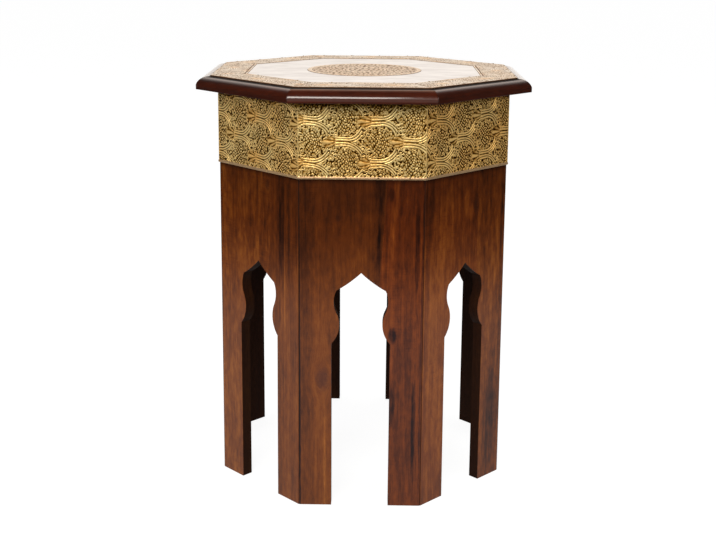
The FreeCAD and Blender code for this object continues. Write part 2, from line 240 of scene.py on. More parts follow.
def ramp(tree, value, *stops):
    """A colour read off a ramp. Each stop is (place, colour)."""
    made = add_node(tree, "ShaderNodeValToRGB", {"Fac": value})
    elements = made.color_ramp.elements
    for index, (place, colour) in enumerate(stops):
        element = elements[index] if index < 2 else elements.new(place)
        element.position = place
        element.color = (*colour, 1)
    return made.outputs["Color"]


def between(tree, value, low, high):
    """A smooth step from 0 at low to 1 at high. Where low is the greater one, it falls instead."""
    inputs = {"Value": value, "From Min": low, "From Max": high}
    return add_node(tree, "ShaderNodeMapRange", inputs, interpolation_type="SMOOTHSTEP").outputs[0]


def band(tree, value, start, full, last, gone):
    """0 up to start, 1 from full to last, and 0 again after gone."""
    return times(tree, between(tree, value, start, full), between(tree, value, gone, last))


def mix_colour(tree, factor, first, second, blend="MIX"):
    """The first colour at factor 0 and the second at factor 1."""
    made = add_node(tree, "ShaderNodeMix", data_type="RGBA", blend_type=blend)
    fill(tree, made.inputs["Factor"], factor)
    fill(tree, made.inputs[6], first)
    fill(tree, made.inputs[7], second)
    return made.outputs[2]


def tinted(tree, colour, tint):
    """A colour times another."""
    return mix_colour(tree, 1.0, colour, tint, "MULTIPLY")


def new_material(name):
    """An empty material, its graph and its Principled shader."""
    material = bpy.data.materials.new(name)
    material.use_nodes = True
    tree = material.node_tree
    return material, tree, tree.nodes["Principled BSDF"]


def set_inputs(tree, shader, inputs):
    """Gives the named inputs of a shader their values or links."""
    for name, value in inputs.items():
        fill(tree, shader.inputs[name], value)


def new_group(name, inputs, outputs):
    """An empty node group. Each input and output is (name, socket type)."""
    group = bpy.data.node_groups.new(name, "ShaderNodeTree")
    for socket, kind in inputs:
        group.interface.new_socket(socket, in_out="INPUT", socket_type=kind)
    for socket, kind in outputs:
        group.interface.new_socket(socket, in_out="OUTPUT", socket_type=kind)
    entry = group.nodes.new("NodeGroupInput").outputs
    leaving = group.nodes.new("NodeGroupOutput").inputs
    return group, entry, leaving


def use_group(tree, group, inputs):
    """A node group, placed in a material. Hands back its outputs."""
    return add_node(tree, "ShaderNodeGroup", inputs, node_tree=group).outputs


def read_attribute(tree, name, output="Vector"):
    """A value that is stored in the mesh."""
    return add_node(tree, "ShaderNodeAttribute", attribute_name=name).outputs[output]


def object_place(tree):
    """The place on the object, in its own directions."""
    return add_node(tree, "ShaderNodeTexCoord").outputs["Object"]


def bump(tree, height, distance, strength):
    """A normal that a small height tilts."""
    inputs = {"Height": height, "Distance": distance, "Strength": strength}
    return add_node(tree, "ShaderNodeBump", inputs).outputs[0]


# %% [markdown]
# ## Wood
#
# The sides are of a dense, oily hardwood, stained, lacquered and rubbed. Its figure is yearly
# rings cut by the face of a board: here they are bands over the distance from the heart of the
# tree, which runs up behind the board and wanders a little. Over them lie fine fibres, short
# dark pores and large blotches where the stain took unevenly. Where a branch grew out, the
# fibres part around a knot. The pattern has to follow each board and not the room, so each
# board stores where its points lie in the log, with the grain along the third direction, and
# also where they lie on the stool's sides, which places the knots.

# %% Node groups: the figure of the wood, and a knot in it
FLOAT, VECTOR = "NodeSocketFloat", "NodeSocketVector"
# How far behind a board the heart of its tree lies, and how far the rings wander and ripple
HEART_DEEP, WANDER, RIPPLE = 20 * MM, 40 * MM, 5 * MM
# How much longer than wide a knot is, and how far it pushes the fibres, in sizes of the knot
KNOT_LONG, KNOT_PUSH = 1.9, -1.3


def line_noise(tree, value, scale, detail):
    """Noise along a line: the same over every surface where the value is the same."""
    inputs = {"W": times(tree, value, scale), "Scale": 1.0, "Detail": detail}
    return add_node(tree, "ShaderNodeTexNoise", inputs, noise_dimensions="1D").outputs["Fac"]


def make_wood_figure():
    """From a place in the log: streaks from 0, dark, to 1, light, then pores and a fine height."""
    group, entry, leaving = new_group(
        "wood_figure", [("Place", VECTOR)], [("Streak", FLOAT), ("Pore", FLOAT), ("Height", FLOAT)]
    )
    place = entry["Place"]
    wander = stretched_noise(group, place, (8, 8, 3))
    ripple = stretched_noise(group, place, (70, 70, 16))
    across, through = numbers_of(group, place)[:2]
    across = scaled(group, wander, WANDER, across)
    across = scaled(group, ripple, RIPPLE, across)
    deep = calc(group, "ADD", through, HEART_DEEP)
    distance = calc(group, "SQRT", scaled(group, across, across, times(group, deep, deep)))
    fine = stretched_noise(group, place, (800, 800, 24), 3.0, 0.7)
    fibre = stretched_noise(group, place, (260, 260, 9), 3.0, 0.6)
    blotch = stretched_noise(group, place, (30, 30, 10), 3.0, 0.6)
    mottle = stretched_noise(group, place, (240, 240, 85), 3.0, 0.6)
    rings = line_noise(group, distance, 170.0, 3.0)
    streak = times(group, line_noise(group, distance, 60.0, 2.0), 0.17)
    for part, share in ((rings, 0.11), (fine, 0.16), (fibre, 0.12), (blotch, 0.23), (mottle, 0.21)):
        streak = scaled(group, part, share, streak)
    pore = between(group, stretched_noise(group, place, (1900, 1900, 110), 1.0), 0.62, 0.74)
    sawn = between(group, stretched_noise(group, place, (70, 70, 560)), 0.5, 0.7)
    rough_patch = between(group, stretched_noise(group, place, (32, 32, 14), shift=(3, 5, 7)), 0.52, 0.7)
    saw_marks = times(group, sawn, rough_patch)
    fill(group, leaving["Streak"], scaled(group, saw_marks, -0.13, between(group, streak, 0.33, 0.67)))
    fill(group, leaving["Pore"], pore)
    fill(group, leaving["Height"], calc(group, "SUBTRACT", times(group, fine, 0.5), pore))
    return group


def make_knot():
    """Parts the fibres around a place on the sides, and darkens its middle."""
    group, entry, leaving = new_group(
        "knot", [("Log", VECTOR), ("Place", VECTOR), ("Knot", VECTOR), ("Size", FLOAT)],
        [("Log", VECTOR), ("Dark", FLOAT)],
    )
    place, size = entry["Place"], entry["Size"]
    across, _, up = numbers_of(group, vector_calc(group, "SUBTRACT", place, entry["Knot"]))
    across = calc(group, "DIVIDE", across, size)
    up = calc(group, "DIVIDE", up, times(group, size, KNOT_LONG))
    reach = calc(group, "SQRT", scaled(group, across, across, times(group, up, up)))
    near = calc(group, "POWER", 2.718, times(group, times(group, reach, reach), -0.35))
    side = calc(group, "DIVIDE", across, calc(group, "ADD", reach, 0.12))
    push = times(group, times(group, near, side), times(group, size, KNOT_PUSH))
    moved = add_node(group, "ShaderNodeCombineXYZ", {0: push}).outputs[0]
    wobble = calc(group, "SUBTRACT", noise(group, place, 260.0), 0.5)
    inside = scaled(group, wobble, 0.7, reach)
    fill(group, leaving["Log"], vector_calc(group, "ADD", entry["Log"], moved))
    fill(group, leaving["Dark"], rest_of(group, between(group, inside, 0.25, 1.25)))
    return group


def make_mark():
    """A long soft-edged patch at a place on the sides: 1 in its middle, 0 outside."""
    group, entry, leaving = new_group(
        "mark", [("Place", VECTOR), ("Middle", VECTOR), ("Shrink", VECTOR)], [("Mask", FLOAT)]
    )
    place = entry["Place"]
    apart = vector_calc(group, "SUBTRACT", place, entry["Middle"])
    reach = length_of(group, vector_calc(group, "MULTIPLY", apart, entry["Shrink"]))
    wobble = calc(group, "SUBTRACT", stretched_noise(group, place, (330, 330, 45), 3.0, 0.6), 0.5)
    rough_reach = scaled(group, wobble, 1.5, reach)
    fill(group, leaving["Mask"], rest_of(group, between(group, rough_reach, 0.45, 1.25)))
    return group


WOOD_FIGURE, KNOT, MARK = make_wood_figure(), make_knot(), make_mark()
print("made groups:", WOOD_FIGURE.name, KNOT.name, MARK.name)

# %% Lacquered side wood
# Where the lacquer stops over an edge, and the near black off the faces begins: sawn edges,
# and painted shade on the boards' inner faces and in the arches
EDGE_FROM, EDGE_TO = 0.06 * MM, 0.45 * MM
# Below the first height the sides are as the arches' legs, above the second as the panels
LEGS_BELOW, PANELS_ABOVE = 0.225, 0.315
# Knots: side, place along it, height and size, in millimetres
KNOTS = (
    (0, -40, 147, 8.5), (0, -24, 322, 2.6), (1, 16, 326, 5.0), (7, 16, 350, 4.0), (2, -30, 300, 5.0),
    (3, 40, 120, 6.0), (4, -20, 310, 4.0), (5, 30, 290, 5.0), (6, -45, 150, 6.0),
)
# Marks in the wood: side, place along it, height, half width and half height in millimetres,
# and how much lighter the wood is there
MARKS = (
    (0, 19.4, 356, 6.6, 26, -0.2), (0, 19.4, 318, 2.5, 34, -0.14), (0, 18.2, 290, 1.9, 30, -0.2),
    (0, 34, 328, 6.0, 42, 0.14), (0, 31, 346, 4.0, 8, -0.25), (0, 58, 300, 2.6, 75, -0.28),
    (0, 33, 118, 4.0, 24, -0.28), (0, 33, 196, 4.5, 9, -0.32), (0, 57, 95, 2.4, 60, -0.25),
    (0, -38, 60, 1.4, 60, 0.2), (0, -48, 40, 2.0, 40, 0.1), (0, -64.9, 200, 1.1, 290, -0.5),
    (0, 63.8, 230, 1.2, 220, -0.25), (7, 38, 305, 5.0, 60, -0.25), (7, 50, 300, 2.2, 75, -0.22),
    (7, 43, 260, 1.4, 60, 0.2), (7, -58, 330, 3.0, 60, 0.12), (7, 2, 325, 6.0, 60, -0.16),
    (7, -22, 335, 5.0, 40, 0.12), (7, 62, 330, 2.4, 60, -0.2), (1, 50, 70, 14, 80, -0.2),
    (1, -45, 60, 22, 90, 0.05), (0, 45, 100, 26, 120, -0.1), (0, 48, 318, 5.0, 30, 0.1),
    (1, 0, 332, 5.0, 16, 0.28), (1, 8, 318, 4.0, 10, 0.22), (1, 60, 250, 3.0, 110, -0.25),
    (1, -64.4, 250, 0.8, 200, 0.16), (2, 15, 310, 3.0, 70, -0.3), (3, 20, 300, 4.0, 80, -0.2),
    (5, -40, 250, 4.0, 90, -0.25), (6, 40, 300, 5.0, 70, -0.25),
)
# Colours of the wood from its darkest streaks to its lightest
WOOD_COLOURS = (
    (0.0, (0.008, 0.0025, 0.0012)), (0.25, (0.036, 0.0085, 0.0016)), (0.5, (0.080, 0.0175, 0.0018)),
    (0.75, (0.135, 0.035, 0.0030)), (1.0, (0.23, 0.075, 0.009)),
)
# What a redder board multiplies the colour by, and what the legs do: pale dust, with painted
# bounce light and reflection of the bright floor
REDDER, DUST_AND_FLOOR_LIGHT = (1.15, 0.74, 0.8, 1), (1.9, 2.4, 5.0, 1)
PORE_COLOUR, KNOT_COLOUR = (0.012, 0.004, 0.002, 1), (0.02, 0.006, 0.003, 1)
# The near black of the sawn edges, which is also painted shade on the inner faces and in the arches
SAWN_EDGE_AND_SHADE_COLOUR = (0.009, 0.003, 0.0012, 1)


def make_side_wood():
    """Streaked brown under a clear gloss. Off the lacquered faces it is near black: sawn edges, and
    painted shade.
    """
    material, tree, shader = new_material("side_wood")
    log, place = read_attribute(tree, "log_place"), read_attribute(tree, "side_place")
    lighter, redder, contrast = numbers_of(tree, read_attribute(tree, "tone"))
    depth = read_attribute(tree, "depth", "Fac")
    knots = 0.0
    for side, u, up, size in KNOTS:
        inputs = {"Log": log, "Place": place, "Knot": (side + u * MM, 0, up * MM), "Size": size * MM}
        log, dark = use_group(tree, KNOT, inputs)
        knots = calc(tree, "MAXIMUM", knots, dark)
    streak, pore, height = use_group(tree, WOOD_FIGURE, {"Place": log})
    height_up = numbers_of(tree, place)[2]
    on_legs = rest_of(tree, between(tree, height_up, LEGS_BELOW, PANELS_ABOVE))
    contrast = times(tree, contrast, scaled(tree, on_legs, -0.2, 1.0))
    shade = scaled(tree, calc(tree, "SUBTRACT", streak, 0.5), contrast, 0.5)
    shade = calc(tree, "ADD", shade, lighter)
    for side, u, up, half_width, half_height, change in MARKS:
        shrink = (1 / (half_width * MM), 0, 1 / (half_height * MM))
        inputs = {"Place": place, "Middle": (side + u * MM, 0, up * MM), "Shrink": shrink}
        shade = scaled(tree, use_group(tree, MARK, inputs)[0], change, shade)
    colour = ramp(tree, calc(tree, "ADD", shade, 0.0, clamp=True), *WOOD_COLOURS)
    colour = mix_colour(tree, redder, colour, tinted(tree, colour, REDDER))
    colour = mix_colour(tree, times(tree, pore, 0.35), colour, PORE_COLOUR)
    colour = mix_colour(tree, times(tree, knots, 0.55), colour, KNOT_COLOUR)
    # Painted shade and dirt: the panels darken towards the brass, and a painted shadow line lies right
    # under its hem
    shade_and_dirt_under_brass = scaled(tree, between(tree, height_up, 0.30, 0.362), -0.3, 1.0)
    shade_and_dirt_under_brass = scaled(tree, between(tree, height_up, 0.356, 0.3625), -0.4, shade_and_dirt_under_brass)
    colour = tinted(tree, colour, shade_and_dirt_under_brass)
    # The legs are lighter and paler: dust, and painted light and reflection from the bright floor
    colour = mix_colour(tree, on_legs, colour, tinted(tree, colour, DUST_AND_FLOOR_LIGHT))
    # Near black off the lacquered faces: dark sawn edges, and painted shade on the inner faces and in
    # the arches
    off_face = between(tree, depth, EDGE_FROM, EDGE_TO)
    gloss = scaled(tree, on_legs, 0.32, 0.28)
    set_inputs(tree, shader, {
        "Base Color": mix_colour(tree, times(tree, off_face, 0.92), colour, SAWN_EDGE_AND_SHADE_COLOUR),
        "Roughness": scaled(tree, off_face, 0.35, 0.3),
        "Normal": bump(tree, height, 0.05 * MM, 0.5),
        "Coat Weight": times(tree, gloss, rest_of(tree, off_face)),
        "Specular IOR Level": 0.1,
        "Coat Roughness": 0.1,
    })
    return material


side_wood = make_side_wood()
print("made material", side_wood.name)

# %% [markdown]
# ## Side boards
#
# Each side is two boards glued edge to edge. The frame has them already, sawn to shape, so the
# visible boards are copies. What the frame leaves out is the softness of sanded wood: every
# sharp edge gets a small rounding, which also opens a fine shadow line along the glue joint
# and up each corner. The joints of such hand-made sides aren't quite upright, so each copy
# leans its glued edge a little, and its neighbour leans the same way.

# %% Helpers for pieces


def alone(piece):
    """Selects one object and nothing else, as a click on it would."""
    bpy.ops.object.select_all(action="DESELECT")
    piece.select_set(True)
    bpy.context.view_layer.objects.active = piece


def merged_copy(node, name):
    """A copy of one of the frame's pieces, with its loose triangles joined into whole faces."""
    piece = bpy.data.objects.new(name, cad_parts[node].data.copy())
    bpy.context.scene.collection.objects.link(piece)
    piece.data.materials.clear()
    alone(piece)
    bpy.ops.mesh.customdata_custom_splitnormals_clear()
    bpy.ops.object.mode_set(mode="EDIT")
    bpy.ops.mesh.select_all(action="SELECT")
    bpy.ops.mesh.remove_doubles(threshold=0.001 * MM)
    bpy.ops.mesh.dissolve_limited(angle_limit=math.radians(0.4))
    bpy.ops.object.mode_set(mode="OBJECT")
    return piece


# Edges sharper than the first angle are rounded, and faces smoother than the second shaded as one
ROUNDED_ABOVE, SMOOTH_BELOW = math.radians(30), math.radians(20)


def round_edges(piece, width):
    """Rounds every sharp edge, and keeps the flat faces shaded flat."""
    alone(piece)
    bpy.ops.object.shade_smooth_by_angle(angle=SMOOTH_BELOW)
    rounding = piece.modifiers.new("rounding", "BEVEL")
    rounding.width = width
    rounding.segments = 2
    rounding.limit_method = "ANGLE"
    rounding.angle_limit = ROUNDED_ABOVE
    rounding.harden_normals = True
    bpy.ops.object.modifier_apply(modifier=rounding.name)


def points_of(piece):
    """The piece's points as an array of X, Y and Z."""
    points = np.zeros(len(piece.data.vertices) * 3, np.float32)
    piece.data.vertices.foreach_get("co", points)
    return points.reshape(-1, 3).astype(float)


def set_points(piece, points):
    """Moves the piece's points to these places."""
    piece.data.vertices.foreach_set("co", points.astype(np.float32).ravel())
    piece.data.update()


def in_side(points, index):
    """Places turned so that side number index faces -Y: along it, out from the middle, and up."""
    turned_back = points @ np.array(side_turn(index).to_3x3())
    return turned_back[:, 0], -turned_back[:, 1], turned_back[:, 2]


def onto_side(points, index):
    """Places made on the front side, turned round to side number index."""
    return points @ np.array(side_turn(index).to_3x3()).T


def columns(*values):
    """Lists of numbers side by side: one row to each point."""
    return np.stack(values, axis=1)


def store(piece, name, values):
    """Stores a number, or three, at each point of the mesh."""
    kind, field = ("FLOAT", "value") if values.ndim == 1 else ("FLOAT_VECTOR", "vector")
    attribute = piece.data.attributes.new(name, kind, "POINT")
    attribute.data.foreach_set(field, values.astype(np.float32).ravel())


def hand_over(piece, material, slot, *nodes):
    """Dresses a piece, ties it to the stool and hides the pieces of the frame that it stands for."""
    if material.name not in piece.data.materials:
        piece.data.materials.append(material)
    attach(piece, "root")
    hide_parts(*nodes)


# %% Make the boards
# How far the edges of the boards are rounded, and the height above which the glue joints lean
ARRIS = 0.8 * MM
LEAN_FOOT = 0.25
# How far to the right the glue joint of each side leans, per metre of height. To the left it
# may lean by 0.006 at most, because the holes of the apron's pins lie there.
JOINT_LEANS = (0.066, -0.006, 0.02, 0.012, 0.015, 0.01, -0.004, 0.018)
# Tone of each side's wide and narrow board: how much lighter, how red, and how strong its figure
WIDE_TONES = (
    (-0.08, 0.05, 0.55), (0.02, 0.25, 0.7), (-0.05, 0.3, 1.0), (0.05, 0.1, 0.8),
    (-0.02, 0.4, 0.9), (0.04, 0.1, 1.1), (-0.06, 0.4, 0.8), (0.05, 0.1, 0.8),
)
NARROW_TONES = (
    (-0.06, 0.45, 0.6), (0.0, 0.1, 0.8), (0.05, 0.0, 1.0), (-0.08, 0.5, 0.9),
    (0.06, 0.1, 1.0), (-0.03, 0.6, 0.8), (0.02, 0.2, 1.0), (-0.04, 0.1, 0.6),
)


def make_board(width_name, index, tone):
    """One board: a rounded copy that knows its place in the log it was sawn from."""
    name = SIDE_NAMES[index]
    piece = merged_copy(f"side_board_{width_name}_{name}", f"board_{width_name}_{name}")
    points = points_of(piece)
    u, out, up = in_side(points, index)
    glued = np.abs(u - joint_u) < 0.05 * MM
    u = u + JOINT_LEANS[index] * np.clip(up - LEAN_FOOT, 0, None) * glued
    u, out = lean(u, out, up)
    set_points(piece, onto_side(columns(u, -out, up), index))
    round_edges(piece, ARRIS)
    u, out, up = in_side(points_of(piece), index)
    out = out - splay(up)
    log = np.random.default_rng(index * 2 + (width_name == "wide"))
    shift = log.uniform((-0.05, 0.0, 0.0), (0.05, 0.06, 3.0))
    store(piece, "log_place", columns(u, side_out - out, up) + shift)
    store(piece, "side_place", columns(u + index, np.zeros(len(u)), up))
    store(piece, "depth", side_out - out)
    store(piece, "tone", np.tile(tone, (len(u), 1)))
    hand_over(piece, side_wood, "side_wood", f"side_board_{width_name}_{name}")
    return piece


boards = []
for side in range(SIDES):
    boards.append(make_board("wide", side, WIDE_TONES[side]))
    boards.append(make_board("narrow", side, NARROW_TONES[side]))
print("boards:", len(boards), "faces in one:", len(boards[0].data.polygons))

# %% [markdown]
# ## Edge mouldings
#
# The edge of the top is a quarter-round moulding, mitred at the eight corners, of the same
# wood stained almost black and polished until it mirrors. Its grain runs along each length,
# so the log is turned: the third direction of the figure is the one along the side. The copy
# hangs a little below the frame's length, because the real one is deeper than the board it
# frames and hides the joint. The top of the round is painted a lighter brown: partly wear from
# hands, partly a painted sheen of the light from above. The step beside the brass, and in front
# the inner edge of the round too, is painted near black and dull as shade. A slim extruded
# profile would do as well, but the frame's own piece has its mitres cut already.

# %% Polished moulding wood, and the mouldings
# Colours of the moulding's wood from dark to light, and of its rubbed top: wear and painted sheen
MOULDING_COLOURS = (
    (0.0, (0.008, 0.0014, 0.0006)), (0.4, (0.019, 0.0028, 0.0006)), (1.0, (0.062, 0.0085, 0.0012)),
)
RUBBED_AND_SHEEN_COLOUR = (0.21, 0.085, 0.036, 1)
# The pores' colour, and the near black of the painted shade in the step beside the brass
MOULDING_PORE_COLOUR, STEP_SHADE_COLOUR = (0.004, 0.002, 0.001, 1), (0.006, 0.003, 0.002, 1)


def make_moulding_wood():
    """Deep red-brown, almost black, under a hard polish."""
    material, tree, shader = new_material("moulding_wood")
    tone, worn, step_shade = numbers_of(tree, read_attribute(tree, "finish"))
    streak, pore, height = use_group(tree, WOOD_FIGURE, {"Place": read_attribute(tree, "log_place")})
    shade = scaled(tree, tone, 0.5, times(tree, streak, 0.5), clamp=True)
    colour = ramp(tree, shade, *MOULDING_COLOURS)
    # Lighter brown on the top of the round: wear, and a painted sheen of the light from above
    worn = times(tree, worn, times(tree, shade, shade))
    colour = mix_colour(tree, worn, colour, RUBBED_AND_SHEEN_COLOUR)
    colour = mix_colour(tree, times(tree, pore, 0.4), colour, MOULDING_PORE_COLOUR)
    # Painted shade: the step beside the brass is near black and without gloss
    set_inputs(tree, shader, {
        "Base Color": mix_colour(tree, step_shade, colour, STEP_SHADE_COLOUR),
        "Roughness": scaled(tree, step_shade, 0.4, 0.35),
        "Normal": bump(tree, height, 0.04 * MM, 0.5),
        "Coat Weight": rest_of(tree, step_shade),
        "Specular IOR Level": 0.15,
        "Coat Roughness": 0.07,
    })
    return material


moulding_wood = make_moulding_wood()
# The tone of each length, which also sets how much painted sheen shows on its rubbed top
MOULDING_TONES = (0.9, 0.5, 0.5, 0.3, 0.6, 0.2, 0.4, 0.5)
# How far the visible length hangs below the frame's, the height of its upright edge there and
# on the frame's piece, and how far its edges are rounded
MOULDING_DROP, UPRIGHT, FRAME_UPRIGHT, MOULDING_ARRIS = 2.2 * MM, 4.9 * MM, 1 * MM, 0.35 * MM
# How far out from the brass the painted shade of the step reaches in front and elsewhere, and
# where the rubbed top with its painted sheen ends, and over what width these fade
STEP_SHADE_TO, THIN_STEP_SHADE_TO, WORN_AND_SHEEN_TO = 5.2 * MM, 0.6 * MM, 9.5 * MM
STEP_SHADE_FADE, WORN_AND_SHEEN_FADE = 1.2 * MM, 2.5 * MM
FRONT_SIDES = (7, 0, 1)


def make_moulding(index):
    """One mitred length, a little deeper, its edges eased, with its grain along it."""
    name = SIDE_NAMES[index]
    piece = merged_copy(f"edge_moulding_{name}", f"moulding_{name}")
    points = points_of(piece)
    low, high = moulding_low.z, moulding_high.z
    deeper = (low - MOULDING_DROP, low - MOULDING_DROP + UPRIGHT, high)
    points[:, 2] = np.interp(points[:, 2], (low, low + FRAME_UPRIGHT, high), deeper)
    set_points(piece, points)
    round_edges(piece, MOULDING_ARRIS)
    u, out, up = in_side(points_of(piece), index)
    # The rubbed top, partly painted sheen, and the painted shade of the step beside the brass
    worn = np.clip((top_out + WORN_AND_SHEEN_TO - out) / WORN_AND_SHEEN_FADE, 0, 1)
    step_shade_to = STEP_SHADE_TO if index in FRONT_SIDES else THIN_STEP_SHADE_TO
    step_shade = np.clip((top_out + step_shade_to + STEP_SHADE_FADE - out) / STEP_SHADE_FADE, 0, 1)
    store(piece, "log_place", columns(up, out, u) + (0.01 * index, 0.0, 0.37 * index))
    store(piece, "finish", columns(np.full(len(u), MOULDING_TONES[index]), worn, step_shade))
    hand_over(piece, moulding_wood, "moulding_wood", f"edge_moulding_{name}")


for side in range(SIDES):
    make_moulding(side)
moulding_deep = moulding_high.z - moulding_low.z + MOULDING_DROP
print("mouldings:", SIDES, "each", round(moulding_deep / MM, 1), "mm deep")

# %% [markdown]
# ## Embossed brass
#
# The brass is thin sheet, pressed from behind over carved blocks, so its pattern repeats. The
# pattern here is a half-drop repeat, as on the real sheet: upright oval medallions of leaves,
# with bundles of straps running between them. A bundle is tied at its left end, opens to
# the right and wraps the medallions above and below it. A ribbed leaf grows left out of each
# tie, small curls sit beside the straps, and pebbles fill the ground.
#
# Relief this dense is a height over a flat sheet, so it is written as one: a formula gives a
# height between 0 and 1 for every place on the sheet, and a fine grid takes that shape. The
# height is also stored in the mesh, because the dark patina lies in the hollows.

# %% The height of the strapwork
REPEAT_WIDE, REPEAT_HIGH = 69 * MM, 42.8 * MM
# Half widths of the ovals, and how far the straps that wrap them reach to the right
CORE_WIDE, CORE_HIGH = 11.2 * MM, 14.2 * MM
STRAP_REACH = 13.5 * MM
# Straps: their spacing, and where the first one runs, in sizes of the oval
STRAP_PITCH, STRAP_FROM = 2.5 * MM, 1.13
# Where the ties lie along the pattern, counted from an oval's middle
TIE_PLACE = -9.5 * MM
LEAF_LONG, LEAF_WIDE = 14.5 * MM, 6.5 * MM
PEBBLE = 2.5 * MM
# Curls beside the straps: place along from an oval's middle, above or below it, and radius, in
# millimetres
CURLS = (
    (18.6, 8.6, 2.7), (23.4, 13.6, 2.2), (17.4, 16.2, 2.1), (-13.6, 11.6, 2.4),
    (-16.2, 5.4, 1.9), (24.4, 5.6, 1.9), (-8.6, 16.4, 1.5),
)
# Half widths of a curl's line and of the lump in its middle
CURL_LINE, CURL_EYE = 0.75 * MM, 0.7 * MM
# The bar across a bundle where it is tied: half its reach, and its half width
TIE_REACH, TIE_HALF = 4.6 * MM, 1.1 * MM


print("the pattern repeats every", REPEAT_WIDE / MM, "by", REPEAT_HIGH / MM, "mm")


def wrap(values, period):
    """The same place in the repeat about zero."""
    return (values + period / 2) % period - period / 2


def bead(distance, half_width):
    """A rounded ridge: 1 on its line, 0 from half a width away."""
    return np.sqrt(np.clip(1 - (distance / half_width) ** 2, 0, 1))


def over(height, mask, feature):
    """Lays a feature over what is there, where its mask is 1."""
    return height * (1 - mask) + feature * mask


def pebbles(u, v, size, seed):
    """Small rounded lumps, one to each cell of a jittered grid."""
    count = 64
    jitter = np.random.default_rng(seed).uniform(0.1, 0.9, (count, count, 3))
    cell_u, cell_v = np.floor(u / size).astype(int), np.floor(v / size).astype(int)
    height = np.zeros(u.shape)
    for step_u in (-1, 0, 1):
        for step_v in (-1, 0, 1):
            at_u, at_v = cell_u + step_u, cell_v + step_v
            offset = jitter[at_u % count, at_v % count]
            turn = offset[..., 2] * math.pi
            du, dv = u / size - at_u - offset[..., 0], v / size - at_v - offset[..., 1]
            along, across = du * np.cos(turn) + dv * np.sin(turn), dv * np.cos(turn) - du * np.sin(turn)
            height = np.maximum(height, bead(np.hypot(along * 0.6, across), 0.45))
    return height


def petal_rings(u, v, wide, high, rings, first, more, point=1.6):
    """Rings of petals about a small eye, each petal a lump with a hollow all round it.

    The innermost ring has the first number of petals, and each later one has more. A point of
    2 makes a round flower, and a smaller one draws it out to a point above and below.
    """
    reach = (np.abs(u / wide) ** point + np.abs(v / high) ** point) ** (1 / point)
    ring = np.floor(reach * rings)
    count = first + more * ring
    turn = np.arctan2(v / high, u / wide) / math.tau * count + 0.5 * ring + 0.25
    turn = turn + 0.25 * np.sin(turn * 1.7 + ring * 2.0)
    across, along = 2 * (turn % 1) - 1, 2 * (reach * rings % 1) - 1
    tip = 0.3 * across ** 2
    lump = np.clip(1 - np.abs(across * 1.05) ** 2.8 - np.abs((along + tip) * 1.04) ** 3.0, 0, 1) ** 0.7
    slope = 0.86 + 0.14 * along
    return 0.3 + 0.7 * lump * slope, reach


